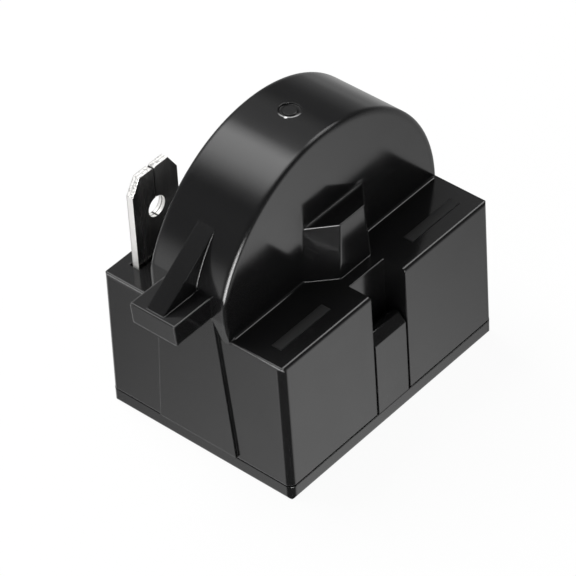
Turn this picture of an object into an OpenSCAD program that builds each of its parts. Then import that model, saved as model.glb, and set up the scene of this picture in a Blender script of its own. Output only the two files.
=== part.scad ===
// Start relay of a refrigerator compressor.
// A moulded housing with a half drum on top holds an upright ceramic disc between two leaf springs.
// A snap-on cover closes it from below, and two sockets take the compressor's pins.
// X runs along the long side, Y from the slotted front to the back, and Z up.
// The origin is the middle of the underside.

/* [Body] */
// Length of the body along X
body_length = 31; // [30:0.5:36]
// Depth of the body at the bottom, from front to back
body_depth = 23.5; // [22.5:0.5:28]
// Height of the two ledges above the underside
ledge_height = 17; // [16.5:0.5:20]
// Thickness of the moulded walls
wall = 1.4; // [1.2:0.1:1.6]
// Radius of the upright corners
corner_radius = 0.8; // [0.5:0.1:1.2]
// Radius of the soft edges of the ledges, the drum and the underside
edge_radius = 0.4; // [0.2:0.05:0.5]
// How far the front and back walls lean in over the height of the ledges
wall_draft = 0.3; // [0:0.05:0.4]
// Radius of the coves where one moulded form grows out of another
cove_radius = 0.25; // [0.15:0.05:0.4]

/* [Drum] */
// Depth of the drum along Y
drum_depth = 9.3; // [9.2:0.1:10.5]
// Depth of the ledge in front of the drum
front_ledge = 6.85; // [6.5:0.05:7.5]
// How far the drum's circle is wider than the body, towards the left
drum_excess = 1.4; // [1:0.1:1.6]
// How far the drum's flattened left side stands proud of the body
drum_proud = 0.35; // [0.2:0.05:0.6]
// Depth of the drum's axis below the ledges
drum_drop = 0.4; // [0:0.1:0.8]
// Height above the ledges up to which the drum's flattened side leans out
flat_height = 2.4; // [1:0.2:3]
// Diameter of the sunk gate mark on top of the drum
gate_diameter = 2.2; // [1.6:0.1:3]
// Depth of the sunk gate mark
gate_depth = 0.25; // [0.2:0.05:0.4]
// Width of the ring round the gate mark's raised middle
gate_ring = 0.35; // [0.2:0.05:0.5]
// Height of the gate mark's raised middle
gate_middle = 0.17; // [0:0.01:0.2]

/* [Boss] */
// Width of the boss at the drum's face, at its foot
boss_width = 9.7; // [8:0.1:11]
// Width of the boss at its front, at its foot
boss_front_width = 4.5; // [3:0.1:6]
// How far the boss stands out from the drum
boss_depth = 2.5; // [2:0.1:3]
// Height of the boss above the ledge
boss_height = 6.5; // [5:0.1:8]
// How far each side of the boss leans in over its height
boss_draft = 0.45; // [0.2:0.05:0.6]
// How far the front of the boss leans in over its height
boss_front_draft = 0.1; // [0:0.05:0.3]
// Radius of the boss's two upright front edges
boss_corner = 0.45; // [0.3:0.05:0.7]

/* [Grip shelf] */
// How far the shelf stands out from the body
shelf_reach = 5.5; // [4:0.1:7]
// Width of the shelf along Y
shelf_width = 5.5; // [4.5:0.1:6.5]
// How far the shelf stands in front of the drum's middle
shelf_offset = 0.2; // [0:0.05:0.4]
// Thickness of the shelf
shelf_thickness = 2.5; // [1.8:0.1:3]
// Height of the shelf's top above the ledges
shelf_rise = 4.9; // [4:0.1:6]
// How far the shelf's end leans in towards its lower edge
shelf_lean = 0.2; // [0:0.1:0.6]
// Thickness of the gusset on the shelf
gusset_thickness = 2.1; // [1.5:0.1:2.6]
// Height of the gusset above the shelf
gusset_height = 5.6; // [4:0.1:6.5]
// How far the pad below the shelf stands proud of the body
pad_proud = 0.3; // [0.2:0.05:0.6]
// How far the pad spreads forwards from the shelf to its foot
pad_spread = 1.75; // [1:0.05:2.2]
// How far the pad reaches backwards past the shelf, at its upper end
pad_back_reach = 1.75; // [0.8:0.05:2.2]
// Height of the pad's foot above the seam
pad_foot = 0.2; // [0.1:0.1:1]

/* [Latches] */
// Width of the slots for the latch tongues
slot_width = 5.1; // [4.5:0.1:6]
// Depth of the slots
slot_depth = 2.95; // [2.7:0.05:3.3]
// Height of the latch tongues' tips above the underside
tongue_height = 11.5; // [10.5:0.1:12.5]
// Thickness of the latch tongues
tongue_thickness = 1.3; // [1.1:0.1:1.5]
// Height of the lead-in slope at a tongue's tip
tongue_slope = 1; // [0.6:0.1:1.4]
// Depth of the lead-in slope at a tongue's tip
tongue_slope_depth = 0.8; // [0.5:0.1:1]
// Gap between a tongue and its slot, on each side
tongue_gap = 0.25; // [0.15:0.05:0.35]
// How far a tongue's barb reaches inwards
barb_reach = 1; // [0.8:0.05:1.1]
// Height of a tongue's barb
barb_height = 1.6; // [1.2:0.1:2]
// Gap between a tongue and the catch behind it
catch_gap = 0.2; // [0.1:0.05:0.3]
// Height of a catch's nose
catch_nose = 0.6; // [0.4:0.1:1]
// Height of the ramp below a catch's nose
catch_ramp = 1.8; // [1:0.1:2.5]

/* [Base cover] */
// Thickness of the cover's plate
cover_thickness = 1.8; // [1.5:0.1:2.2]
// Height of the groove that shows as the seam round the cover
seam_height = 0.15; // [0.1:0.05:0.25]
// Depth of the groove that shows as the seam
seam_depth = 0.3; // [0.2:0.05:0.5]
// Height of the locating rim inside the housing
rim_height = 1.2; // [0.8:0.1:1.6]
// Thickness of the locating rim
rim_thickness = 1; // [0.8:0.1:1.2]
// Gap between the rim and the housing
rim_gap = 0.15; // [0.1:0.05:0.25]

/* [Ceramic disc] */
// Diameter of the disc
disc_diameter = 20; // [17:0.5:20.5]
// Thickness of the disc
disc_thickness = 2.5; // [2.2:0.1:2.8]
// Gap between the disc and the drum's roof
disc_headroom = 0.6; // [0.3:0.1:1.2]
// Gap between the disc and its cradle
disc_gap = 0.1; // [0.05:0.05:0.2]
// How deep the cradle holds the disc's lower edge
cradle_grip = 1.2; // [0.8:0.1:1.4]
// Gap between the cradle and the springs above it
cradle_gap = 0.3; // [0.2:0.05:0.6]
// Thickness of the cradle's cheeks
cheek_thickness = 0.9; // [0.7:0.1:1]
// Width of the cradle along X
cradle_width = 4.8; // [4:0.1:5]

/* [Terminals] */
// Distance between the two pin sockets
pin_spacing = 12.7; // [12.5:0.1:13.5]
// Bore of the pin sockets, for the compressor's pins
socket_bore = 3.2; // [3:0.05:3.4]
// Thickness of the terminals' sheet metal
sheet = 0.4; // [0.3:0.05:0.45]
// Length of the pin sockets
socket_length = 8; // [7.5:0.1:8.5]
// Gap in the rolled wall of a pin socket
socket_seam = 0.5; // [0.3:0.1:0.8]
// Gap between the cover's plate and the pin sockets
socket_gap = 0.2; // [0.1:0.05:0.4]
// Diameter of the cover's holes in front of the pin sockets
pin_hole = 4.2; // [4.1:0.1:4.6]
// Width and height of the lead-in below the cover's holes
pin_lead = 0.5; // [0.3:0.1:0.8]
// How far a terminal's plate reaches past its socket, below a rib
plate_ear = 1.5; // [1:0.1:2]
// Height of the ribs that hold the terminals' plates down
rib_height = 2.5; // [1.5:0.1:3]
// Height of a leg's upright foot above its plate
leg_foot = 2.4; // [1.6:0.1:3]
// Height over which a leg slants in towards the disc
leg_slant = 4; // [3:0.5:6]
// Width of the terminals' legs beside the disc
leg_width = 9; // [7:0.5:10]
// Height of the legs' upper end above the underside
leg_top = 25.5; // [24:0.5:27]
// Gap between a leg and the drum's inner wall
leg_gap = 0.5; // [0.45:0.05:0.6]

/* [Spade tab] */
// Width of the spade tab
tab_width = 6.3; // [6.2:0.1:6.4]
// Thickness of the spade tab, its sheet folded double
tab_thickness = 0.8; // [0.75:0.01:0.85]
// Height of the tab's tip above the ledge
tab_height = 10.5; // [8:0.5:12]
// Width of the tab's tip between its two corners
tab_tip_width = 4; // [3:0.1:5]
// Height of the tab's two sloped corners
tab_corner = 1.8; // [1:0.1:2.2]
// Diameter of the hole in the tab
tab_hole = 2.3; // [1.6:0.1:2.6]
// Distance of the tab's hole below the tip
tab_hole_drop = 4.8; // [4:0.1:6]
// Distance of the tab's back face from the body's back, at the bottom
tab_back_inset = 1.95; // [1.9:0.05:2.1]
// Distance of the tab's left edge from the body's left wall
tab_inset = 2.6; // [2.3:0.1:3]
// Gap round the tab in its slot through the ledge
tab_slot_gap = 0.25; // [0.15:0.05:0.4]
// How far the folded part of the tab reaches below the ledge's wall
tab_root = 0.8; // [0.5:0.1:1.5]
// Size of the notch where the tab's two layers meet at its tip
tab_notch = 0.25; // [0.1:0.05:0.4]
// Width and depth of the seam between the tab's two layers
tab_seam = 0.12; // [0.08:0.02:0.2]

/* [Springs] */
// Thickness of the leaf springs
spring_thickness = 0.25; // [0.2:0.05:0.3]
// Width of the leaf springs
spring_width = 5; // [4:0.5:6]
// Length of a leaf spring
spring_length = 11.5; // [10:0.5:12]
// Length of the flat foot of a leaf spring
spring_foot = 3.4; // [3.2:0.1:4]
// Length of the flat pad that presses on the disc
spring_pad = 2; // [1:0.5:2.5]
// Share of its rise by which a spring's free end comes back
spring_return = 0.8; // [0.4:0.1:1]
// Diameter of the rivets' shanks
rivet_shank = 1.3; // [1:0.1:1.5]
// Diameter of the rivets' heads
rivet_head = 2.4; // [2:0.1:2.6]
// Height of the rivets' heads
rivet_head_height = 0.35; // [0.25:0.05:0.4]
// Wall of the spring clips round the pin sockets
clip_wall = 0.3; // [0.2:0.05:0.4]
// Length of the spring clips
clip_length = 4.5; // [3:0.5:5.5]
// Distance of a spring clip above the lower end of its socket
clip_lift = 1; // [0.5:0.1:2]
// Opening in the wall of a spring clip
clip_opening = 1.6; // [1:0.1:2.5]

/* [Hidden] */
$fn = 96;
// Overlap of joined forms, reach of a cut past what it cuts, and offset of an arc that crosses a wall
eps = 0.01;
past = 1;
hair = 0.003;
moulded = [0.09, 0.09, 0.1];
tinned = [0.8, 0.8, 0.78];
stainless = [0.62, 0.63, 0.65];
ceramic = [0.45, 0.43, 0.4];

half_length = body_length / 2;
half_depth = body_depth / 2;
front_y = -half_depth;
left_x = -half_length;
draft_angle = atan(wall_draft / ledge_height);

// Drum
drum_radius = (body_length + drum_excess) / 2;
drum_x = -drum_excess / 2;
drum_z = ledge_height - drum_drop;
drum_front = front_y + front_ledge;
drum_back = drum_front + drum_depth;
drum_middle = (drum_front + drum_back) / 2;
drum_left = left_x - drum_proud;
roof_z = ledge_height - wall;
chamber_radius = drum_radius - wall;

// Shelf, gusset and pad
shelf_top = ledge_height + shelf_rise;
shelf_bottom = shelf_top - shelf_thickness;
shelf_middle = drum_middle - shelf_offset;
shelf_front = shelf_middle - shelf_width / 2;
shelf_back = shelf_middle + shelf_width / 2;
shelf_root = left_x + 2 * wall;
gusset_top = shelf_top + gusset_height;

// Disc and the stack of parts that press on it
disc_z = drum_z + chamber_radius - disc_headroom - disc_diameter / 2;
disc_front = drum_middle - disc_thickness / 2;
disc_back = drum_middle + disc_thickness / 2;
start_leg_y = drum_front + wall + leg_gap;
run_leg_y = drum_back - wall - leg_gap - sheet;
start_spring_rise = disc_front - start_leg_y - sheet - spring_thickness;
run_spring_rise = run_leg_y - disc_back - spring_thickness;

// Terminals
socket_x = pin_spacing / 2;
socket_y = drum_middle;
socket_bottom = cover_thickness + socket_gap;
plate_z = socket_bottom + socket_length;
plate_top = plate_z + sheet;
socket_outer = socket_bore + 2 * sheet;
tab_left = left_x + tab_inset;
tab_middle = tab_left + tab_width / 2;
tab_tip = ledge_height + tab_height;
tab_back = half_depth - tab_back_inset;
tab_y = tab_back - tab_thickness;
cradle_top = disc_z - disc_diameter / 2 + cradle_grip;
spring_bottom = cradle_top + cradle_gap;
rivet_z = spring_bottom + spring_foot / 2;

// Latches
tongue_width = slot_width - 2 * tongue_gap;
catch_z = tongue_height - tongue_slope - barb_height;

// Points of an arc, from one angle to another
function arc(x, y, radius, start, stop, steps = 8) = [
    for (i = [0:steps])
        let (a = start + (stop - start) * i / steps)
        [x + radius * cos(a), y + radius * sin(a)]
];

// Half depth of the leaning walls at a height
function half_depth_at(z) = half_depth - wall_draft * z / ledge_height;

// Rounded rectangle, centred
module rounded_rectangle(width, depth, radius) {
    square([width - 2 * radius, depth], center = true);
    square([width, depth - 2 * radius], center = true);
    for (x = [-1, 1], y = [-1, 1])
        translate([x * (width / 2 - radius), y * (depth / 2 - radius)])
            circle(radius);
}

// Upright prism with a flat profile in the YZ plane, centred along X
module along_x(length) {
    rotate([90, 0, 90])
        linear_extrude(length, center = true)
            children();
}

// Prism with a flat profile in the XZ plane, from one Y to another
module along_y(start, stop) {
    translate([0, stop, 0])
        rotate([90, 0, 0])
            linear_extrude(stop - start)
                children();
}

// Side view of the body's hollow: leaning walls and soft upper corners
module hollow_profile(bottom, inset) {
    radius = edge_radius;
    centre_z = ledge_height - inset - radius;
    centre_y = half_depth_at(centre_z) - inset - radius / cos(draft_angle);
    bottom_y = half_depth_at(bottom) - inset;
    polygon(concat(
        [[-bottom_y, bottom], [bottom_y, bottom]],
        arc(centre_y, centre_z, radius, draft_angle, 90),
        arc(-centre_y, centre_z, radius, 90, 180 - draft_angle)));
}

// Profile that softens the body's two top edges, its own sides well outside the walls
module soft_top_profile(half_width, lean) {
    radius = edge_radius;
    centre = half_width - radius / cos(lean);
    centre_z = ledge_height - radius;
    start_z = centre_z + radius * sin(lean);
    out = half_width + past;
    polygon(concat(
        [[-out, start_z], [-out, cover_thickness], [out, cover_thickness], [out, start_z]],
        arc(centre, centre_z, radius, lean, 90),
        arc(-centre, centre_z, radius, 90, 180 - lean)));
}

// Prism on the body's plan, leaning as its back wall does, or as its front wall for a side of -1
module leaning_prism(side) {
    translate([0, side * half_depth, 0])
        rotate([side * draft_angle, 0, 0])
            translate([0, -side * half_depth, -past])
                linear_extrude(ledge_height + 2 * past)
                    rounded_rectangle(body_length, body_depth, corner_radius);
}

// The box-shaped lower part of the housing
module body_block() {
    intersection() {
        along_x(body_length + past)
            soft_top_profile(half_depth_at(ledge_height - edge_radius) + hair, draft_angle);
        along_y(-body_depth, body_depth)
            soft_top_profile(half_length, 0);
        leaning_prism(-1);
        leaning_prism(1);
    }
}

// Full drum with soft rims, lying along Y
module full_drum() {
    r = drum_radius;
    d = drum_depth;
    e = edge_radius;
    translate([drum_x, drum_front, drum_z])
        rotate([-90, 0, 0])
            rotate_extrude($fn = 180)
                polygon(concat(
                    [[0, 0]],
                    arc(r - e, e, e, -90, 0, 6),
                    arc(r - e, d - e, e, 0, 90, 6),
                    [[0, d]]));
}

// The part of the drum above the body, its left side flattened and led down into the body's wall
module half_drum() {
    intersection() {
        full_drum();
        along_y(drum_front - past, drum_back + past)
            polygon([
                [left_x + edge_radius, ledge_height - wall],
                [left_x + eps, ledge_height - edge_radius],
                [drum_left, ledge_height + flat_height],
                [drum_left, ledge_height + drum_radius],
                [half_length, ledge_height + drum_radius],
                [half_length, ledge_height - wall]
            ]);
    }
}

// Cove that fills the corner between a floor and a wall, along a straight edge
module cove(length, radius = cove_radius) {
    rotate([90, 0, 90])
        linear_extrude(length)
            difference() {
                translate([-radius, -radius])
                    square(2 * radius);
                translate([-radius, radius])
                    circle(radius, $fn = 32);
                translate([-radius - eps, radius])
                    square([2 * radius + past, radius + eps]);
            }
}

// Coves along the drum's foot, on both ledges
module drum_coves() {
    length = body_length - 3 * edge_radius;
    translate([-length / 2, drum_front, ledge_height])
        cove(length);
    translate([length / 2, drum_back, ledge_height])
        rotate([0, 0, 180])
            cove(length);
}

// Plan of the boss at one height, as half widths and a depth, with its front corners rounded
module boss_plan(back, front, depth) {
    radius = boss_corner;
    set_back = radius * tan(atan2(depth, back - front) / 2);
    hull() {
        translate([-back, 0])
            square([2 * back, wall / 2]);
        for (side = [-1, 1])
            translate([side * (front - set_back), radius - depth])
                circle(radius, $fn = 48);
    }
}

// Wedge-shaped boss on the drum's face
module boss() {
    translate([0, drum_front, 0])
        hull() {
            translate([0, 0, ledge_height - wall / 2])
                linear_extrude(wall / 2)
                    boss_plan(boss_width / 2, boss_front_width / 2, boss_depth);
            translate([0, 0, ledge_height + boss_height - eps])
                linear_extrude(eps)
                    boss_plan(boss_width / 2 - boss_draft, boss_front_width / 2 - boss_draft,
                              boss_depth - boss_front_draft);
        }
}

// Shelf on the left side of the drum, its end leaning in
module shelf() {
    tip = left_x - shelf_reach;
    soft = edge_radius / 2;
    along_y(shelf_front, shelf_back)
        polygon(concat(
            [[shelf_root, shelf_top], [shelf_root, shelf_bottom], [tip + shelf_lean, shelf_bottom]],
            [[tip, shelf_top - soft]],
            arc(tip + soft, shelf_top - soft, soft, 180, 90, 4)));
}

// Gusset between the shelf and the drum
module gusset() {
    tip = left_x - shelf_reach + edge_radius;
    root = drum_x - sqrt(pow(drum_radius, 2) - pow(gusset_top - drum_z, 2)) + eps;
    along_y(shelf_middle - gusset_thickness / 2, shelf_middle + gusset_thickness / 2)
        polygon([
            [tip, shelf_top - eps],
            [root, gusset_top],
            [root + wall, gusset_top - wall],
            [shelf_root, shelf_top - eps]
        ]);
}

// Raised pad on the left wall that carries the shelf
module pad() {
    foot = cover_thickness + pad_foot;
    translate([left_x - pad_proud, 0, 0])
        rotate([90, 0, 90])
            linear_extrude(pad_proud + wall / 2)
                polygon([
                    [shelf_front, shelf_bottom + eps],
                    [shelf_front - pad_spread, foot],
                    [shelf_back + pad_back_reach + pad_spread / 2, foot],
                    [shelf_back + pad_back_reach, ledge_height - wall],
                    [shelf_back, shelf_bottom + eps]
                ]);
}

// Slot for a latch tongue, cut into the front wall
module latch_slot() {
    translate([-slot_width / 2, front_y - past, cover_thickness - past])
        cube([slot_width, slot_depth + past, ledge_height]);
}

// Walls that close a latch slot off from the inside
module latch_slot_walls() {
    translate([-slot_width / 2 - wall, front_y + wall / 2, cover_thickness])
        cube([slot_width + 2 * wall, slot_depth + wall / 2, roof_z - cover_thickness + eps]);
}

// Catch on the back of a latch slot, with a ramp below it
module latch_catch() {
    back = front_y + slot_depth + eps;
    nose = front_y + wall_draft + tongue_thickness + catch_gap;
    top = catch_z - catch_gap;
    bottom = top - catch_nose;
    along_x(slot_width + 2 * eps)
        polygon([[back, top], [nose, top], [nose, bottom], [back, bottom - catch_ramp]]);
}

// Hollow of the lower part
module body_hollow() {
    intersection() {
        along_x(body_length - 2 * wall)
            hollow_profile(cover_thickness - past, wall);
        translate([0, 0, cover_thickness - past])
            linear_extrude(ledge_height)
                rounded_rectangle(body_length - 2 * wall, body_depth, corner_radius / 2);
    }
}

// Chamber for the disc, which reaches up into the drum
module disc_chamber() {
    inner = half_length - wall;
    along_y(drum_front + wall, drum_back - wall)
        intersection() {
            union() {
                translate([drum_x, drum_z])
                    circle(chamber_radius, $fn = 144);
                translate([-inner, cover_thickness - past])
                    square([2 * inner, drum_z - cover_thickness + past]);
            }
            translate([-inner, cover_thickness - past])
                square([2 * inner, ledge_height + drum_radius]);
        }
}

// Ribs on the side walls that hold the terminals' plates down
module hold_down_ribs() {
    start = socket_x + socket_outer / 2;
    stop = half_length - wall / 2;
    for (side = [-1, 1])
        translate([side * (start + stop) / 2, socket_y, plate_top + rib_height / 2])
            cube([stop - start, wall, rib_height], center = true);
}

// Slot through the back ledge for the spade tab
module tab_slot() {
    gap = tab_slot_gap;
    translate([tab_left - gap, tab_y - gap, roof_z - past])
        cube([tab_width + 2 * gap, tab_thickness + 2 * gap, wall + 2 * past]);
}

// Gate mark on top of the drum
module gate_mark() {
    translate([0, 0, drum_z + drum_radius - gate_depth])
        difference() {
            cylinder(h = past, d = gate_diameter, $fn = 48);
            translate([0, 0, -eps])
                cylinder(h = gate_middle + eps, d = gate_diameter - 2 * gate_ring, $fn = 48);
        }
}

module housing() {
    color(moulded)
        difference() {
            union() {
                difference() {
                    union() {
                        body_block();
                        half_drum();
                        drum_coves();
                        boss();
                        shelf();
                        gusset();
                        pad();
                    }
                    body_hollow();
                    disc_chamber();
                    gate_mark();
                }
                latch_slot_walls();
                mirror([0, 1, 0])
                    latch_slot_walls();
                hold_down_ribs();
            }
            difference() {
                latch_slot();
                latch_catch();
            }
            mirror([0, 1, 0])
                difference() {
                    latch_slot();
                    latch_catch();
                }
            tab_slot();
        }
}

// Plate of the cover, with its lower edge softened and a seam groove round its top
module cover_plate() {
    e = edge_radius;
    seam = 2 * seam_depth;
    intersection() {
        union() {
            linear_extrude(cover_thickness - seam_height)
                rounded_rectangle(body_length, body_depth, corner_radius);
            linear_extrude(cover_thickness)
                rounded_rectangle(body_length - seam, body_depth - seam, corner_radius);
        }
        along_x(body_length + past)
            polygon(concat(
                arc(-half_depth + e, e, e, 180, 270, 6),
                arc(half_depth - e, e, e, 270, 360, 6),
                [[half_depth, cover_thickness + past], [-half_depth, cover_thickness + past]]));
        along_y(-body_depth, body_depth)
            polygon(concat(
                arc(-half_length + e, e, e, 180, 270, 6),
                arc(half_length - e, e, e, 270, 360, 6),
                [[half_length, cover_thickness + past], [-half_length, cover_thickness + past]]));
    }
}

// Latch tongue of the cover, in the front slot
module tongue() {
    root = cover_thickness - seam_height - eps;
    shoulder = tongue_height - tongue_slope;
    face = -half_depth_at(shoulder);
    inner = front_y + wall_draft + tongue_thickness;
    along_x(tongue_width)
        polygon([
            [-half_depth_at(root), root],
            [face, shoulder],
            [face + tongue_slope_depth, tongue_height],
            [inner, tongue_height],
            [inner + barb_reach, shoulder],
            [inner + barb_reach, catch_z],
            [inner, catch_z],
            [inner, root]
        ]);
}

// Rim that locates the cover inside the housing, open at the latch slots
module locating_rim() {
    outer_inset = wall + wall_draft + rim_gap;
    inner_inset = outer_inset + rim_thickness;
    gap_width = slot_width + 2 * wall + 2 * rim_gap;
    translate([0, 0, cover_thickness - eps])
        linear_extrude(rim_height)
            difference() {
                square([body_length - 2 * outer_inset, body_depth - 2 * outer_inset], center = true);
                square([body_length - 2 * inner_inset, body_depth - 2 * inner_inset], center = true);
                square([gap_width, body_depth], center = true);
            }
}

// Cradle that holds the disc's lower edge between two cheeks
module disc_cradle() {
    depth = disc_thickness + 2 * (disc_gap + cheek_thickness);
    difference() {
        translate([drum_x - cradle_width / 2, drum_middle - depth / 2, cover_thickness - eps])
            cube([cradle_width, depth, cradle_top - cover_thickness + eps]);
        translate([drum_x, disc_front - disc_gap, disc_z])
            rotate([-90, 0, 0])
                cylinder(h = disc_thickness + 2 * disc_gap, d = disc_diameter + 2 * disc_gap, $fn = 144);
    }
}

// Hole through the cover for a pin of the compressor, with a lead-in
module pin_hole_cut() {
    translate([0, 0, -past])
        cylinder(h = cover_thickness + 2 * past, d = pin_hole);
    translate([0, 0, -eps])
        cylinder(h = pin_lead, d1 = pin_hole + 2 * pin_lead, d2 = pin_hole);
}

module base_cover() {
    color(moulded)
        difference() {
            union() {
                cover_plate();
                tongue();
                mirror([0, 1, 0])
                    tongue();
                locating_rim();
                disc_cradle();
            }
            for (side = [-1, 1])
                translate([side * socket_x, socket_y, 0])
                    pin_hole_cut();
        }
}

// Ceramic disc, upright in the drum
module ptc_disc() {
    color(ceramic)
        translate([drum_x, disc_front, disc_z])
            rotate([-90, 0, 0])
                cylinder(h = disc_thickness, d = disc_diameter, $fn = 144);
}

// Rolled socket for a pin, open along a narrow seam that faces away from the middle
module pin_socket(side) {
    difference() {
        cylinder(h = socket_length + eps, d = socket_outer);
        translate([0, 0, -past])
            cylinder(h = socket_length + sheet + 2 * past, d = socket_bore);
        translate([side > 0 ? 0 : -socket_outer, -socket_seam / 2, -past])
            cube([socket_outer, socket_seam, socket_length - past]);
    }
}

// Outline of a leg, seen from the front, from its plate up to the spring
module leg_profile(side) {
    outer = side * (socket_x + socket_outer / 2);
    inner = side * (socket_x - socket_outer / 2);
    near = drum_x + side * leg_width / 2;
    far = drum_x - side * leg_width / 2;
    shoulder = plate_top + leg_foot;
    polygon([
        [outer, plate_z],
        [outer, shoulder],
        [near, shoulder + leg_slant],
        [near, leg_top],
        [far, leg_top],
        [far, rivet_z - rivet_head],
        [inner, plate_top + sheet],
        [inner, plate_z]
    ]);
}

// Hole for a spring's rivet, through a leg or a spring
module rivet_hole() {
    translate([drum_x, drum_middle, rivet_z])
        rotate([90, 0, 0])
            cylinder(h = drum_depth, d = rivet_shank, center = true, $fn = 32);
}

// Horizontal plate over a pin socket, between two Y values, with an ear on its outer side
module socket_plate(side, start, stop) {
    width = socket_outer + plate_ear;
    middle = side * (socket_x + plate_ear / 2);
    difference() {
        translate([middle - width / 2, start, plate_z])
            cube([width, stop - start, sheet]);
        translate([side * socket_x, socket_y, plate_z - past])
            cylinder(h = sheet + 2 * past, d = socket_bore);
    }
}

// Outline of the spade tab, from its shoulder up to its tip
module tab_profile(bottom) {
    half_tip = tab_tip_width / 2;
    half = tab_width / 2;
    polygon([
        [-half, bottom], [-half, tab_tip - tab_corner], [-half_tip, tab_tip],
        [-tab_notch, tab_tip], [0, tab_tip - tab_notch], [tab_notch, tab_tip],
        [half_tip, tab_tip], [half, tab_tip - tab_corner], [half, bottom]
    ]);
}

// Spade tab, folded double, with its seam down to the hole
module spade_tab() {
    translate([tab_middle, 0, 0])
        difference() {
            along_y(tab_y, tab_back)
                tab_profile(roof_z - tab_root);
            translate([0, tab_back + past, tab_tip - tab_hole_drop])
                rotate([90, 0, 0])
                    cylinder(h = tab_thickness + 2 * past, d = tab_hole, $fn = 48);
            translate([-tab_seam / 2, tab_y - past, tab_tip - tab_hole_drop])
                cube([tab_seam, past + tab_seam, tab_hole_drop + past]);
        }
}

module run_terminal() {
    back = tab_back;
    strip_right = -socket_x + socket_outer / 2;
    color(tinned)
        union() {
            spade_tab();
            // Upright strip below the tab
            translate([tab_left, back - sheet, plate_z])
                cube([strip_right - tab_left, sheet, roof_z - tab_root - plate_z + eps]);
            socket_plate(-1, socket_y - socket_outer / 2, back);
            translate([-socket_x, socket_y, socket_bottom])
                pin_socket(-1);
            difference() {
                along_y(run_leg_y, run_leg_y + sheet)
                    leg_profile(-1);
                rivet_hole();
            }
        }
}

module start_terminal() {
    color(tinned)
        union() {
            socket_plate(1, start_leg_y, socket_y + socket_outer / 2);
            translate([socket_x, socket_y, socket_bottom])
                pin_socket(1);
            difference() {
                along_y(start_leg_y, start_leg_y + sheet)
                    leg_profile(1);
                rivet_hole();
            }
        }
}

// How far a leaf spring has risen from its leg, at a share of its length past the foot
function spring_rise(rise, share) = rise * (1 - cos(min(share, 1) * 180)) / 2;

// Leaf spring in side view: a flat foot, a rise, a flat pad and a return
function spring_line(rise) =
    let (
        steps = 12,
        slope = (spring_length - spring_foot - spring_pad) / 2,
        foot_end = spring_bottom + spring_foot,
        pad_end = foot_end + slope + spring_pad
    )
    concat(
        [[0, spring_bottom]],
        [for (i = [0:steps])
            [spring_rise(rise, i / steps), foot_end + slope * i / steps]],
        [for (i = [0:steps])
            [rise - spring_rise(rise * spring_return, i / steps), pad_end + slope * i / steps]]);

module leaf_spring(rise) {
    line = spring_line(rise);
    count = len(line);
    front = [for (i = [0:count - 1]) [line[i][0] + spring_thickness, line[i][1]]];
    back = [for (i = [0:count - 1]) line[count - 1 - i]];
    difference() {
        translate([drum_x, 0, 0])
            along_x(spring_width)
                polygon(concat(front, back));
        translate([drum_x, 0, rivet_z])
            rotate([90, 0, 0])
                cylinder(h = drum_depth, d = rivet_shank, center = true, $fn = 32);
    }
}

module start_contact_spring() {
    color(stainless)
        translate([0, start_leg_y + sheet, 0])
            leaf_spring(start_spring_rise);
}

module run_contact_spring() {
    color(stainless)
        translate([0, run_leg_y, 0])
            mirror([0, 1, 0])
                leaf_spring(run_spring_rise);
}

// Rivet through a leg and a spring's foot, lying along Y
module spring_rivet() {
    grip = sheet + spring_thickness;
    h = rivet_head_height;
    rotate([-90, 0, 0]) {
        translate([0, 0, -h])
            cylinder(h = h, d = rivet_head, $fn = 48);
        cylinder(h = grip, d = rivet_shank, $fn = 32);
        translate([0, 0, grip])
            cylinder(h = h, d = rivet_head, $fn = 48);
    }
}

module start_spring_rivet() {
    color(tinned)
        translate([drum_x, start_leg_y, rivet_z])
            spring_rivet();
}

module run_spring_rivet() {
    color(tinned)
        translate([drum_x, run_leg_y - spring_thickness, rivet_z])
            spring_rivet();
}

// Split spring sleeve that tightens a pin socket
module socket_clip(side) {
    translate([side * socket_x, socket_y, socket_bottom + clip_lift])
        difference() {
            cylinder(h = clip_length, d = socket_outer + 2 * clip_wall);
            translate([0, 0, -past])
                cylinder(h = clip_length + 2 * past, d = socket_outer);
            translate([side > 0 ? -socket_outer : 0, -clip_opening / 2, -past])
                cube([socket_outer, clip_opening, clip_length + 2 * past]);
        }
}

module run_socket_clip() {
    color(stainless)
        socket_clip(-1);
}

module start_socket_clip() {
    color(stainless)
        socket_clip(1);
}

housing();
base_cover();
ptc_disc();
run_terminal();
start_terminal();
run_contact_spring();
start_contact_spring();
run_spring_rivet();
start_spring_rivet();
run_socket_clip();
start_socket_clip();
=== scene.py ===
# %% [markdown]
# # A compressor start relay, dressed in Blender
# The relay is a small black moulded box with half a drum on top. A bright flat tab stands behind the drum.
# Its solids come from the CAD model as a fixed frame, so nothing here changes their shape or size. This
# file gives them their finish, adds the two raised bars on the front ledge, and sets the studio up.

# %% Load the frame
import math

import bpy
from mathutils import Matrix, Vector


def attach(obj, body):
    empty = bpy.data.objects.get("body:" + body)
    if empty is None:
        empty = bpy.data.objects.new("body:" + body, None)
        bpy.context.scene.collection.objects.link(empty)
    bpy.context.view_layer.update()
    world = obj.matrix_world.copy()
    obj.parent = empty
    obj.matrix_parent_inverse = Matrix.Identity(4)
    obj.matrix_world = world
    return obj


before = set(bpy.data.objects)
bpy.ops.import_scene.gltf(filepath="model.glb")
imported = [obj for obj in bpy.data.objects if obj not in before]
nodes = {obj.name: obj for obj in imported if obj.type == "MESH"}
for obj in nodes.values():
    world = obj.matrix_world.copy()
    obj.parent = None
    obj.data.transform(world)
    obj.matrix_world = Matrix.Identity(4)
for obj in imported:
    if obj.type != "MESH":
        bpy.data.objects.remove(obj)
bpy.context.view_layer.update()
MM = 0.001
print("nodes:", ", ".join(sorted(nodes)))

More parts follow.
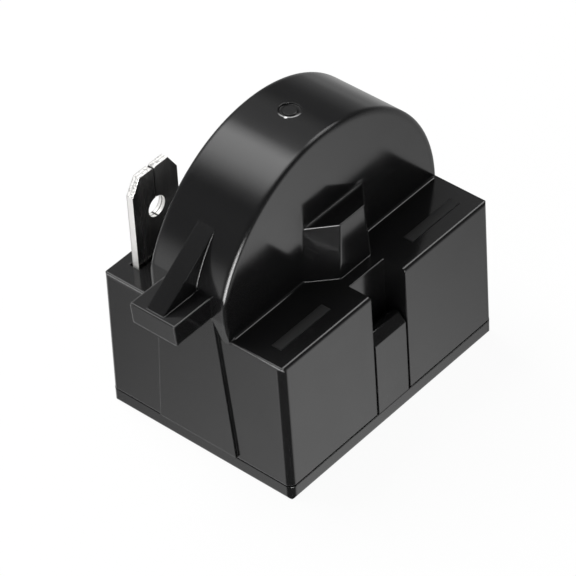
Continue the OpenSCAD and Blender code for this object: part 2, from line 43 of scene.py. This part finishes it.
# %% [markdown]
# Every finish below is a small tree of shader nodes, and a few helpers keep those trees short. The first
# adds a node, sets its inputs and gives it back. The second starts a material with its Principled shader,
# and the third gives a point's place on the relay. Patterns read Object coordinates, in metres, so they
# keep their real scale on every piece.

# %% Helpers that start a tree
def add_node(tree, kind, inputs=None, **settings):
    """Adds a node, sets its properties, and fills or links its inputs."""
    made = tree.nodes.new(kind)
    for name, value in settings.items():
        setattr(made, name, value)
    for name, value in (inputs or {}).items():
        socket = made.inputs[name]
        if isinstance(value, bpy.types.NodeSocket):
            tree.links.new(value, socket)
        else:
            socket.default_value = value
    return made


def start_material(name, colour, metallic, ior):
    """A material with one Principled shader, whose constant values sit on its own sockets."""
    material = bpy.data.materials.new(name)
    material.use_nodes = True
    tree = material.node_tree
    shader = tree.nodes["Principled BSDF"]
    shader.inputs["Base Color"].default_value = (*colour, 1)
    shader.inputs["Metallic"].default_value = metallic
    shader.inputs["IOR"].default_value = ior
    return material, tree, shader


def place_on_relay(tree):
    """A point's place on the relay, in metres: the whole vector, and its x, y and z."""
    place = add_node(tree, "ShaderNodeTexCoord").outputs["Object"]
    split = add_node(tree, "ShaderNodeSeparateXYZ", {"Vector": place})
    return place, [split.outputs[axis] for axis in "XYZ"]


print("a tree can be started")

# %% [markdown]
# The next helpers do the arithmetic. A mask is a value from 0 to 1 that says how much of something a point
# gets. A rising or falling mask is soft over the stretch between its two places, and two of them multiplied
# make a band.

# %% Helpers for patterns and masks
def grain(tree, scale, detail, stretch=(1, 1, 1)):
    """Noise with about as many lumps in a metre as its scale, and more along an axis stretched above 1."""
    place = add_node(tree, "ShaderNodeTexCoord").outputs["Object"]
    turned = add_node(tree, "ShaderNodeMapping", {"Vector": place, "Scale": stretch})
    inputs = {"Vector": turned.outputs["Vector"], "Scale": scale, "Detail": detail}
    return add_node(tree, "ShaderNodeTexNoise", inputs).outputs["Fac"]


def spread(tree, value, low, high, start=0.3, stop=0.7):
    """Goes from low at start to high at stop. Without a start and stop it suits a noise pattern."""
    inputs = {"Value": value, "From Min": start, "From Max": stop, "To Min": low, "To Max": high}
    return add_node(tree, "ShaderNodeMapRange", inputs).outputs["Result"]


def rising(tree, value, start, stop):
    """A mask that goes from 0 at start to 1 at stop."""
    return spread(tree, value, 0, 1, start, stop)


def falling(tree, value, start, stop):
    """A mask that goes from 1 at start to 0 at stop."""
    return spread(tree, value, 1, 0, start, stop)


def maths(tree, operation, first, second):
    """One step of arithmetic."""
    return add_node(tree, "ShaderNodeMath", {0: first, 1: second}, operation=operation).outputs["Value"]


def vector_maths(tree, operation, first, second=(0, 0, 0)):
    """One step of arithmetic on vectors. A length or a dot product comes out as a number."""
    step = add_node(tree, "ShaderNodeVectorMath", {0: first, 1: second}, operation=operation)
    return step.outputs["Value" if operation in ("LENGTH", "DOT_PRODUCT") else "Vector"]


def product(tree, first, *others):
    """All the values multiplied."""
    for value in others:
        first = maths(tree, "MULTIPLY", first, value)
    return first


def apart(tree, value, middle):
    """How far a value is from a middle, on either side."""
    return maths(tree, "ABSOLUTE", maths(tree, "SUBTRACT", value, middle), 0)


def mix_colours(tree, amount, first, second):
    """Blends two colours, from the first at 0 to the second at 1."""
    blend = add_node(tree, "ShaderNodeValToRGB", {"Fac": amount})
    blend.color_ramp.elements[0].color = (*first, 1)
    blend.color_ramp.elements[1].color = (*second, 1)
    return blend.outputs["Color"]


print("patterns and masks can be drawn")

# %% [markdown]
# ## Soft edges
# On the real moulding, small edges and inner corners have radii of about a tenth of a millimetre. They
# catch thin lines of light. They could be bevelled in the mesh, but a Bevel node rounds them in the shading
# alone, so the frame's solids stay as they are. The drum's two rims look softer than the rest in the
# photograph, so the rounding is wider there.

# %% Round edges in the shading
LEDGE_Z = 17 * MM
DRUM_Y = -0.25 * MM
HALF_DRUM = 4.65 * MM
EDGE_RADIUS = 0.16 * MM
RIM_RADIUS = 0.7 * MM


def round_edges(tree, radius):
    """A normal that rounds sharp edges and inner corners."""
    return add_node(tree, "ShaderNodeBevel", {"Radius": radius}, samples=8).outputs["Normal"]


def edge_radius(tree, y, z):
    """The radius of rounded edges: small on the body, wide along the drum's two rims."""
    off_middle = apart(tree, y, DRUM_Y)
    near_face = rising(tree, off_middle, HALF_DRUM - 1.2 * MM, HALF_DRUM - 0.9 * MM)
    on_drum = falling(tree, off_middle, HALF_DRUM + 0.03 * MM, HALF_DRUM + 0.08 * MM)
    above_ledge = rising(tree, z, LEDGE_Z + 0.5 * MM, LEDGE_Z + 1.2 * MM)
    rim = product(tree, near_face, on_drum, above_ledge)
    return spread(tree, rim, EDGE_RADIUS, RIM_RADIUS, 0, 1)


print("rounding in mm: edges", round(EDGE_RADIUS / MM, 2), "and drum rims", round(RIM_RADIUS / MM, 2))

# %% [markdown]
# ## Painted edge highlights
# The shelf's edges and the rim of the left wall get a painted highlight: their colour is a step paler
# than the flat skin, as if they caught more light from the left, and they are a little rougher. The shelf's
# edges are found by looking inwards from the surface. There, the inside of the wall meets its neighbour
# within a short way. The rim is simpler: it is straight, so a narrow band along it is enough.

# %% Find the edges that get a painted highlight
SHELF_ROOT_X = -15.9 * MM
SHELF_TOP_Z = 21.9 * MM
LEFT_X = -15.5 * MM
FRONT_Y = -11.75 * MM
HIGHLIGHT_EDGE_WIDTH = 0.25 * MM
FADE = 0.1 * MM


def shelf_edges(tree, x, z):
    """How much painted highlight the edges of the grip shelf get."""
    inputs = {"Distance": HIGHLIGHT_EDGE_WIDTH}
    inward = add_node(tree, "ShaderNodeAmbientOcclusion", inputs, inside=True, only_local=True, samples=8)
    edge = spread(tree, inward.outputs["AO"], 0.25, 0.0, 0.5, 0.9)
    outside = falling(tree, x, SHELF_ROOT_X - FADE, SHELF_ROOT_X)
    low = falling(tree, z, SHELF_TOP_Z, SHELF_TOP_Z + FADE)
    return product(tree, edge, outside, low)


def ledge_rim(tree, x, y, z):
    """How much painted highlight the left rim of the ledges gets: most at the front, and not where the drum
    covers it.
    """
    from_left = maths(tree, "SUBTRACT", x, LEFT_X)
    below_top = maths(tree, "SUBTRACT", LEDGE_Z, z)
    off_edge = apart(tree, maths(tree, "SUBTRACT", from_left, below_top), 0)
    band = falling(tree, off_edge, 0.03 * MM, 0.13 * MM)
    close = falling(tree, from_left, 0.3 * MM, 0.45 * MM)
    beside_drum = rising(tree, apart(tree, y, DRUM_Y), HALF_DRUM, HALF_DRUM + 0.3 * MM)
    level = spread(tree, y, 1.0, 0.6, FRONT_Y + 0.5 * MM, FRONT_Y + 3 * MM)
    return product(tree, band, beside_drum, close, level)


def painted_edge_highlight(tree, x, y, z):
    """How much painted highlight a point gets: 0 on open faces, up to 1 at the front of the rim, and a little
    patchy.
    """
    patchy = spread(tree, grain(tree, 1500, 3), 0.7, 1.0)
    highlit_edges = maths(tree, "MAXIMUM", shelf_edges(tree, x, z), ledge_rim(tree, x, y, z))
    return product(tree, highlit_edges, patchy)


print("rubbed edges are found within", round(HIGHLIGHT_EDGE_WIDTH / MM, 2), "mm of the surface")

# %% [markdown]
# ## The gate mark
# The plastic was fed into the mould at the top of the drum, through a small gate that is broken off
# afterwards. The sunk ring is in the frame. One side of the ring, towards the front left, gets a painted
# highlight, with a white painted glint near its left end. Both are too thin to be worth a mesh, so they are
# two masks.

# %% Draw the painted highlight on the gate ring
GATE_CENTRE = (0, 0, 0)
GATE_RADIUS = 1.15 * MM
GATE_LOW_Z = 31.5 * MM
GATE_HIGH_Z = 32 * MM
# The painted highlight sits on the ring's side towards the front left, with a white painted glint near the
# left end.
HIGHLIGHT_SIDE = (-0.79, -0.61, 0)
GLINT_PLACE = (-1.09 * MM, -0.45 * MM, 0)


def beside(tree, place, centre):
    """The way from a centre to a point, seen from above."""
    flat = vector_maths(tree, "MULTIPLY", place, (1, 1, 0))
    return vector_maths(tree, "SUBTRACT", flat, centre)


def gate_highlights(tree, place, z):
    """Masks of the painted highlight on one side of the ring and of its white painted glint."""
    on_top = rising(tree, z, GATE_LOW_Z, GATE_HIGH_Z)
    out = beside(tree, place, GATE_CENTRE)
    off_ring = apart(tree, vector_maths(tree, "LENGTH", out), GATE_RADIUS)
    ring = falling(tree, off_ring, 0.06 * MM, 0.14 * MM)
    towards_highlight_side = vector_maths(tree, "DOT_PRODUCT", out, HIGHLIGHT_SIDE)
    one_side = rising(tree, towards_highlight_side, 0.4 * GATE_RADIUS, 0.8 * GATE_RADIUS)
    off_glint = vector_maths(tree, "LENGTH", beside(tree, place, GLINT_PLACE))
    glint = falling(tree, off_glint, 0.1 * MM, 0.24 * MM)
    return product(tree, ring, one_side, on_top), product(tree, glint, on_top)


print("gate mark:", round(2 * GATE_RADIUS / MM, 2), "mm across")

# %% [markdown]
# ## Black moulded plastic
# Such housings are moulded in a stiff black resin, in a polished tool, so flat walls mirror their
# surroundings. The colour is nearly black, and most of what shows is reflection, which grows towards
# grazing angles. A real moulding is never quite flat: walls sink a little, and the skin has a fine grain.
# Two weak bumps do that, and the roughness wanders a little too, as it does where hands and tools have
# been. A point with a painted edge highlight is a step paler than the black, and a little rougher. At the
# gate mark the painted highlight goes up to near white.

# %% Plastic
PLASTIC_COLOUR = (0.009, 0.009, 0.0093)
# The pale colour that paints highlights on edges and at the gate mark.
HIGHLIGHT_COLOUR = (0.9, 0.9, 0.9)
HIGHLIGHT_SHARE = 0.349
HIGHLIGHT_ROUGHNESS = 0.2
PLASTIC_IOR = 1.55
SINK_DEPTH = 0.004 * MM
SKIN_DEPTH = 0.0006 * MM


def bump(tree, pattern, depth, normal):
    """Raises a pattern by a depth in metres, on top of another normal."""
    inputs = {"Height": pattern, "Distance": depth, "Strength": 1.0, "Normal": normal}
    return add_node(tree, "ShaderNodeBump", inputs).outputs["Normal"]


def moulded_plastic(name, smooth, rough):
    """Black plastic whose roughness wanders between two values, with soft edges and painted highlights on
    edges and at the gate.
    """
    material, tree, shader = start_material(name, PLASTIC_COLOUR, 0, PLASTIC_IOR)
    place, (x, y, z) = place_on_relay(tree)
    ring_highlight, glint = gate_highlights(tree, place, z)
    # A pale colour is mixed in as painted highlight on the picked edges, on one side of the gate ring and at
    # its glint.
    highlight_mask = maths(tree, "MAXIMUM", painted_edge_highlight(tree, x, y, z), ring_highlight)
    paleness = maths(tree, "MAXIMUM", product(tree, highlight_mask, HIGHLIGHT_SHARE), glint)
    colour = mix_colours(tree, paleness, PLASTIC_COLOUR, HIGHLIGHT_COLOUR)
    haze = spread(tree, grain(tree, 260, 4), smooth, rough)
    roughness = maths(tree, "ADD", haze, product(tree, highlight_mask, HIGHLIGHT_ROUGHNESS))
    rounded = round_edges(tree, edge_radius(tree, y, z))
    sunk = bump(tree, grain(tree, 90, 1), SINK_DEPTH, rounded)
    skin = bump(tree, grain(tree, 2600, 3), SKIN_DEPTH, sunk)
    tree.links.new(colour, shader.inputs["Base Color"])
    tree.links.new(roughness, shader.inputs["Roughness"])
    tree.links.new(skin, shader.inputs["Normal"])
    return material


polished = moulded_plastic("polished_black_plastic", 0.11, 0.16)
head_on = ((PLASTIC_IOR - 1) / (PLASTIC_IOR + 1)) ** 2
print("plastic:", polished.name, "reflects", round(head_on, 3), "head on")

# %% [markdown]
# ## Tinned brass
# The terminals are stamped from thin brass strip with a bright tin plate. The springs are steel strip.
# Strip is rolled, so its shine is streaked along its length. The sheared edges are rough and look almost
# white. A picture of scratched metal could be laid on, but noise stretched along one axis follows every
# fold by itself.

# %% Metal strip
TIN_COLOUR = (0.93, 0.92, 0.9)
STEEL_COLOUR = (0.56, 0.56, 0.55)
METAL_IOR = 1.5
METAL_EDGE_RADIUS = 0.06 * MM
CUT_METALLIC = 0.25
CUT_ROUGHNESS = 0.25


def rolled_metal(name, colour, smooth, rough, depth):
    """Bright metal strip with streaks along Z. Faces that don't look along Y count as sheared edges."""
    material, tree, shader = start_material(name, colour, 1, METAL_IOR)
    streaks = grain(tree, 900, 3, (1, 1, 0.06))
    facing = add_node(tree, "ShaderNodeTexCoord").outputs["Normal"]
    across = add_node(tree, "ShaderNodeSeparateXYZ", {"Vector": facing}).outputs["Y"]
    cut = falling(tree, apart(tree, across, 0), 0.2, 0.6)
    polish = spread(tree, streaks, smooth, rough)
    roughness = maths(tree, "ADD", polish, product(tree, cut, CUT_ROUGHNESS))
    rolled = bump(tree, streaks, depth, round_edges(tree, METAL_EDGE_RADIUS))
    tree.links.new(spread(tree, cut, 1.0, CUT_METALLIC, 0, 1), shader.inputs["Metallic"])
    tree.links.new(roughness, shader.inputs["Roughness"])
    tree.links.new(rolled, shader.inputs["Normal"])
    return material, tree, shader, cut


tinned, tin_tree, tin_shader, tin_cut = rolled_metal("tinned_brass", TIN_COLOUR, 0.16, 0.3, 0.0015 * MM)
spring_steel = rolled_metal("spring_steel", STEEL_COLOUR, 0.22, 0.38, 0.001 * MM)[0]
print("metals:", tinned.name, spring_steel.name)

# %% [markdown]
# ## The folded tab
# The flat tab is strip folded over on itself. The gap between the two layers, in the hole and along the cut
# edges, gets a line of painted shade, and so does the seam groove that runs down from the tip. The sloped
# edges at the tip are torn and speckled. These lines are finer than the mesh, so masks made from the place
# and the facing of each point draw all of them.

# %% Paint shade and marks on the tab's cut edges
TAB_X = -9.75 * MM
TAB_Y = 9.4 * MM
TAB_BACK_Y = 9.8 * MM
TAB_FOLD_X = -12.9 * MM
TAB_CORNER_Z = 25.7 * MM
LAYER_DARK_Z = 24 * MM
LAYER_FAINT_Z = 25 * MM
# Dark colour for painted shade in the seam and the layer gap, and for the burr and specks.
SHADE_AND_MARK_COLOUR = (0.02, 0.02, 0.02)


def folded_tab_shade_and_marks(tree, shader, cut):
    """Paints shade into the seam and the gap between the two layers, and darkens the specks and burr of the
    cut edges.
    """
    x, y, z = place_on_relay(tree)[1]
    # The seam and the gap between the layers get painted shade, where the groove and the gap lie in shade.
    seam_shade = falling(tree, apart(tree, x, TAB_X), 0.08 * MM, 0.14 * MM)
    layer_line = spread(tree, apart(tree, y, TAB_Y), 0.9, 0, 0.03 * MM, 0.07 * MM)
    off_fold = rising(tree, x, TAB_FOLD_X + 0.1 * MM, TAB_FOLD_X + 0.3 * MM)
    fading = spread(tree, z, 1, 0.45, LAYER_DARK_Z, LAYER_FAINT_Z)
    layer_gap_shade = product(tree, layer_line, off_fold, fading)
    burr = spread(tree, y, 0, 0.35, TAB_BACK_Y - 0.16 * MM, TAB_BACK_Y - 0.06 * MM)
    specks = spread(tree, grain(tree, 5200, 2, (1, 0.4, 1)), 0, 0.55, 0.52, 0.6)
    torn = product(tree, specks, rising(tree, z, TAB_CORNER_Z - FADE, TAB_CORNER_Z))
    shade_lines = maths(tree, "MAXIMUM", seam_shade, layer_gap_shade)
    rough_spots = maths(tree, "MAXIMUM", burr, torn)
    above_ledge = rising(tree, z, LEDGE_Z - 0.5 * MM, LEDGE_Z)
    dark = product(tree, maths(tree, "MAXIMUM", shade_lines, rough_spots), cut, above_ledge)
    tree.links.new(mix_colours(tree, dark, TIN_COLOUR, SHADE_AND_MARK_COLOUR), shader.inputs["Base Color"])


folded_tab_shade_and_marks(tin_tree, tin_shader, tin_cut)
print("tinned brass:", len(tin_tree.nodes), "shader nodes")

# %% [markdown]
# ## Ceramic
# The disc inside is a grey ceramic. It is hidden in the closed relay, but it still gets its matt, speckled
# look.

# %% Ceramic
CERAMIC_COLOUR = (0.42, 0.4, 0.37)
SPECKLE_DARK = (0.33, 0.31, 0.29)
SPECKLE_PALE = (0.5, 0.48, 0.45)


def grey_ceramic():
    """Matt grey ceramic with a fine speckle."""
    material, tree, shader = start_material("grey_ceramic", CERAMIC_COLOUR, 0, 1.6)
    speckle = mix_colours(tree, grain(tree, 4000, 2), SPECKLE_DARK, SPECKLE_PALE)
    tree.links.new(speckle, shader.inputs["Base Color"])
    shader.inputs["Roughness"].default_value = 0.55
    return material


ceramic = grey_ceramic()
print("ceramic:", ceramic.name)

# %% [markdown]
# ## Finish the frame's own pieces
# Each node arrives with one plain slot named after its material in the record. That name picks the finish.

# %% Give every node its finish
finishes = {
    "moulded_plastic": polished,
    "tinned_brass": tinned,
    "spring_steel": spring_steel,
    "disc_ceramic": ceramic,
}
for name, piece in sorted(nodes.items()):
    plain = piece.material_slots[0].material.name
    piece.material_slots[0].material = finishes[plain.split(".")[0]]
    print(name, "->", piece.material_slots[0].material.name)

# %% [markdown]
# ## The two raised bars
# The front ledge carries a plain raised bar on each side of the slot, a tenth of a millimetre high and
# matt. A block is added at its size and place. Its top face is then made a little smaller, so that the
# sides slope as moulded ones do, and the edges round the top are bevelled. It could be cut with booleans,
# but this way keeps clean faces and gives the rounded edge that shows.

# %% Helpers for a new piece
def select_only(piece):
    """Deselects everything, then selects and activates one piece."""
    bpy.ops.object.select_all(action="DESELECT")
    piece.select_set(True)
    bpy.context.view_layer.objects.active = piece


def settle(piece):
    """Puts the piece's place into its mesh, with its object at the origin."""
    select_only(piece)
    bpy.ops.object.transform_apply(location=True, rotation=True, scale=True)


def edit_top_face(piece):
    """Opens the piece in edit mode with only its highest face selected."""
    top = max(piece.data.polygons, key=lambda face: face.center.z).index
    bpy.ops.object.mode_set(mode="EDIT")
    bpy.ops.mesh.select_mode(type="FACE")
    bpy.ops.mesh.select_all(action="DESELECT")
    bpy.ops.object.mode_set(mode="OBJECT")
    piece.data.polygons[top].select = True
    bpy.ops.object.mode_set(mode="EDIT")


print("a piece can be placed and edited")

# %% [markdown]
# On the real relay each bar is part of the moulding, so its root reaches just inside the plastic here. It has
# a duller skin than the walls, so it gets a matt version of the same plastic.

# %% Raised bars
BAR_LENGTH = 7.3 * MM
BAR_WIDTH = 1.2 * MM
BAR_RISE = 0.1 * MM
BAR_ROOT = 0.05 * MM
BAR_X = 9.75 * MM
BAR_Y = -8.9 * MM
BAR_TOP_SHARE = 0.94
BAR_BEVEL = 0.04 * MM
SHARP_ANGLE = math.radians(30)


def raised_bar(name, x, finish):
    """A plain bar on the front ledge, with its root just inside the plastic."""
    height = BAR_RISE + BAR_ROOT
    bpy.ops.object.select_all(action="DESELECT")
    bpy.ops.mesh.primitive_cube_add(size=1, location=(x, BAR_Y, LEDGE_Z - BAR_ROOT + height / 2))
    bar = bpy.context.object
    bar.name = name
    bar.scale = (BAR_LENGTH, BAR_WIDTH, height)
    settle(bar)
    edit_top_face(bar)
    drawn_in = (1 - BAR_TOP_SHARE) * BAR_WIDTH
    bpy.ops.transform.resize(value=(1 - drawn_in / BAR_LENGTH, BAR_TOP_SHARE, 1))
    bpy.ops.mesh.bevel(offset=BAR_BEVEL, segments=3, affect="EDGES")
    bpy.ops.object.mode_set(mode="OBJECT")
    bar.data.materials.append(finish)
    select_only(bar)
    bpy.ops.object.shade_smooth_by_angle(angle=SHARP_ANGLE)
    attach(bar, "root")
    return bar


matt = moulded_plastic("matt_black_plastic", 0.58, 0.66)
matt.node_tree.nodes["Principled BSDF"].inputs["Specular IOR Level"].default_value = 0.3
for name, x in (("left_ledge_bar", -BAR_X), ("right_ledge_bar", BAR_X)):
    bar = raised_bar(name, x, matt)
    print(name, "faces:", len(bar.data.polygons))

# %% [markdown]
# ## Floor
# The photograph shows the relay on plain white. The floor is white to the camera and keeps a faint shadow.
# The plastic would mirror it, but the studio below says more exactly what is mirrored, so reflections skip
# the floor. From below it is clear, so that the underside of the relay can be looked at.

# %% Floor
FLOOR_SIZE = 3.0
FLOOR_DROP = 0.02 * MM
PAPER_COLOUR = (0.8, 0.8, 0.8, 1)
WHITE = (1, 1, 1, 1)
OWN_WHITE = 0.95


def white_floor():
    """White paper: mostly its own white to the camera, with a little real light so that a shadow shows."""
    material = bpy.data.materials.new("white_paper")
    material.use_nodes = True
    tree = material.node_tree
    tree.nodes.remove(tree.nodes["Principled BSDF"])
    paper = add_node(tree, "ShaderNodeBsdfDiffuse", {"Color": PAPER_COLOUR}).outputs["BSDF"]
    glow = add_node(tree, "ShaderNodeEmission", {"Color": WHITE, "Strength": 1.0}).outputs["Emission"]
    clear = add_node(tree, "ShaderNodeBsdfTransparent").outputs["BSDF"]
    camera_ray = add_node(tree, "ShaderNodeLightPath").outputs["Is Camera Ray"]
    from_below = add_node(tree, "ShaderNodeNewGeometry").outputs["Backfacing"]
    veil = maths(tree, "MULTIPLY", camera_ray, OWN_WHITE)
    above = add_node(tree, "ShaderNodeMixShader", {0: veil, 1: paper, 2: glow}).outputs["Shader"]
    both = add_node(tree, "ShaderNodeMixShader", {0: from_below, 1: above, 2: clear}).outputs["Shader"]
    tree.links.new(both, tree.nodes["Material Output"].inputs["Surface"])
    return material


bpy.ops.object.select_all(action="DESELECT")
bpy.ops.mesh.primitive_plane_add(size=FLOOR_SIZE, location=(0, 0, -FLOOR_DROP))
floor = bpy.context.object
floor.name = "floor"
settle(floor)
floor.data.materials.append(white_floor())
floor.visible_glossy = False
print("floor:", FLOOR_SIZE, "m wide")

# %% [markdown]
# ## Studio
# On polished black plastic the light is seen as a mirror image, so the studio is drawn as that image would
# see it: a white table, a grey room, one large softbox overhead, a bright light at the front left, and two
# small ones, at the right and at the back left. Real lamps could be placed and moved until their
# reflections fit, but here each one is drawn where it is seen. All of it sits in the world, in fixed
# directions. Diffuse light from the world stays plain and even.

# %% Directions and curves
RAMP_TOP = 5.0


def direction(azimuth, elevation):
    """Unit vector from an azimuth, counted from +X towards +Y, and an elevation, in degrees."""
    turn, lift = math.radians(azimuth), math.radians(elevation)
    return Vector((math.cos(lift) * math.cos(turn), math.cos(lift) * math.sin(turn), math.sin(lift)))


def smooth_step(tree, value, start, stop, low=0.0, high=1.0):
    """A soft step from low to high as the value goes from start to stop."""
    inputs = {"Value": value, "From Min": start, "From Max": stop, "To Min": low, "To Max": high}
    return add_node(tree, "ShaderNodeMapRange", inputs, interpolation_type="SMOOTHSTEP").outputs["Result"]


def ramp(tree, value, stops):
    """A curve through (position, level) stops, for positions from -1 to 1 and levels up to RAMP_TOP."""
    place = maths(tree, "MULTIPLY_ADD", value, 0.5)
    place.node.inputs[2].default_value = 0.5
    curve = add_node(tree, "ShaderNodeValToRGB", {"Fac": place})
    elements = curve.color_ramp.elements
    while len(elements) < len(stops):
        elements.new(0.5)
    for element, (position, level) in zip(elements, stops):
        element.position = (position + 1) / 2
        element.color = (level / RAMP_TOP, level / RAMP_TOP, level / RAMP_TOP, 1)
    return maths(tree, "MULTIPLY", curve.outputs["Color"], RAMP_TOP)


def spot(tree, ray, azimuth, elevation, inner, outer, level):
    """A round soft light around a direction, with its half angles in degrees."""
    near = vector_maths(tree, "DOT_PRODUCT", ray, direction(azimuth, elevation))
    edge, core = math.cos(math.radians(outer)), math.cos(math.radians(inner))
    return smooth_step(tree, near, edge, core, 0.0, level)


print("light can be drawn, up to level", RAMP_TOP)

# %% [markdown]
# The table and the room are one curve of brightness against height. Parts of the table are then dimmed. It
# is darker at the left and the far right, and darkest towards the camera. That dark side draws the dark
# line down the front corner of the box.

# %% Table and room
HEIGHT_STOPS = [(-1, 1.05), (-0.35, 1.1), (-0.2, 0.85), (-0.1, 0.6), (0, 0.3), (0.16, 0.2),
                (0.3, 0.1), (0.6, 0.1), (0.72, 0.05), (0.85, 0.1), (1, 0.15)]
TOWARDS_CAMERA = direction(223, 0)
CAMERA_SIDE_DIM = 0.88
FAR_RIGHT_DIM = 0.53


def dimmed(tree, light, amount):
    """Takes a share from 0 to 1 off a light."""
    return product(tree, light, maths(tree, "SUBTRACT", 1.0, amount))


def table_and_room(tree, ray, x, y, z):
    """Brightness of the table and the room in every direction."""
    room = ramp(tree, z, HEIGHT_STOPS)
    below = smooth_step(tree, z, 0.0, -0.2)
    left = smooth_step(tree, x, 0.2, -0.4)
    far_back = smooth_step(tree, y, 0.47, 0.56, 0.2, 0.72)
    room = dimmed(tree, room, product(tree, below, left, far_back))
    far_right = smooth_step(tree, x, 0.54, 0.6, 0.0, FAR_RIGHT_DIM)
    room = dimmed(tree, room, product(tree, below, far_right))
    near = smooth_step(tree, vector_maths(tree, "DOT_PRODUCT", ray, TOWARDS_CAMERA), 0.2, 0.42)
    return dimmed(tree, room, product(tree, near, below, CAMERA_SIDE_DIM))


print("table and room:", len(HEIGHT_STOPS), "stops from straight down to straight up")

# %% [markdown]
# The softbox hangs over the relay. It is sharp on its right side and fades to the left, as a softbox does
# that is lit from one end, and that fade is what gives the drum its broad band of light. The spot at the
# front left is very strong, because from the camera it shows mostly in thin round edges. That has a
# drawback: from behind, at a low angle, the whole left wall mirrors the spot and looks white.

# %% Lights
SOFTBOX_STOPS = [(-1, 0), (-0.45, 0), (-0.35, 0.35), (-0.245, 1.5), (-0.128, 2.6), (0.0, 3.1), (0.12, 3.4),
                 (0.2, 2.1), (0.27, 0.6), (0.36, 0.42), (0.56, 0.28), (0.7, 0)]
SPOTS = {
    "front left": (237, -7, 12, 24, 17.0),
    "right": (0, 56, 8, 18, 3.6),
    "back left": (149, -8, 4, 22, 0.7),
}


def overhead_box(tree, x, y, z):
    """The large softbox overhead."""
    across = ramp(tree, x, SOFTBOX_STOPS)
    front_end = smooth_step(tree, y, -0.15, 0.15)
    back_end = smooth_step(tree, y, 0.85, 0.65)
    high = smooth_step(tree, z, 0.3, 0.6)
    return product(tree, across, front_end, back_end, high)


def all_lights(tree, ray, x, y, z):
    """The softbox and the spots together."""
    lights = overhead_box(tree, x, y, z)
    for settings in SPOTS.values():
        lights = maths(tree, "ADD", lights, spot(tree, ray, *settings))
    return lights


print("lights: overhead,", ", ".join(SPOTS))

# %% [markdown]
# The world joins them. A ray that is mirrored sees the table, the room and the lights. The camera sees
# plain white, and everything else gets the same soft level from all sides.

# %% World
PLAIN_LEVEL = 0.35


def studio_world():
    """The world: white to the camera, a studio in reflections, and even light for the rest."""
    world = bpy.data.worlds.new("studio")
    world.use_nodes = True
    tree = world.node_tree
    ray = add_node(tree, "ShaderNodeTexCoord").outputs["Generated"]
    split = add_node(tree, "ShaderNodeSeparateXYZ", {"Vector": ray})
    x, y, z = (split.outputs[axis] for axis in "XYZ")
    studio = maths(tree, "ADD", table_and_room(tree, ray, x, y, z), all_lights(tree, ray, x, y, z))
    path = add_node(tree, "ShaderNodeLightPath")
    mirrored = maths(tree, "MAXIMUM", path.outputs["Is Glossy Ray"], path.outputs["Is Transmission Ray"])
    plain = maths(tree, "MAXIMUM", path.outputs["Is Camera Ray"], PLAIN_LEVEL)
    level = add_node(tree, "ShaderNodeMix", {0: mirrored, 2: plain, 3: studio}).outputs[0]
    background = tree.nodes["Background"]
    tree.links.new(level, background.inputs["Strength"])
    background.inputs["Color"].default_value = WHITE
    return world


bpy.context.scene.world = studio_world()
print("world:", len(bpy.context.scene.world.node_tree.nodes), "nodes")

# %% [markdown]
# Two soft lamps give the plain light that makes the faint shadow and shades the matt surfaces.

# %% Lamps
LAMP_DISTANCE = 0.8
LAMP_SIZE = 0.5


def soft_lamp(name, azimuth, elevation, power):
    """A square area lamp that looks at the relay, and doesn't show in reflections."""
    data = bpy.data.lights.new(name, "AREA")
    data.size = LAMP_SIZE
    data.energy = power
    lamp = bpy.data.objects.new(name, data)
    bpy.context.collection.objects.link(lamp)
    towards = direction(azimuth, elevation)
    lamp.location = towards * LAMP_DISTANCE
    lamp.rotation_euler = towards.to_track_quat("Z", "Y").to_euler()
    lamp.visible_glossy = False
    return lamp


soft_lamp("overhead_softbox", 97, 58, 7.5)
soft_lamp("left_fill", 178, 20, 1.7)

# %% [markdown]
# ## Camera
# The photograph was taken from the front left, well above the relay, with a long lens. The camera's place
# and turn were worked out from the straight edges of the box, so two of its axes are given, and the third
# stands square to them.

# %% Camera
CAMERA_PLACE = Vector((-0.20263, -0.18667, 0.25654))
CAMERA_RIGHT = Vector((0.65056, -0.75817, -0.04409))
CAMERA_BACK = Vector((-0.54623, -0.50746, 0.66642))
LENS_MM = 235.2
SENSOR_MM = 36

camera_data = bpy.data.cameras.new("camera")
camera_data.lens = LENS_MM
camera_data.sensor_width = SENSOR_MM
camera_data.clip_start = 0.01
camera = bpy.data.objects.new("camera", camera_data)
bpy.context.collection.objects.link(camera)
up = CAMERA_BACK.cross(CAMERA_RIGHT).normalized()
right = up.cross(CAMERA_BACK).normalized()
camera.matrix_world = Matrix((right, up, CAMERA_BACK.normalized())).transposed().to_4x4()
camera.location = CAMERA_PLACE
bpy.context.scene.camera = camera
bpy.context.scene.view_settings.view_transform = "Standard"
print("camera at", [round(value / MM, 1) for value in CAMERA_PLACE], "mm")
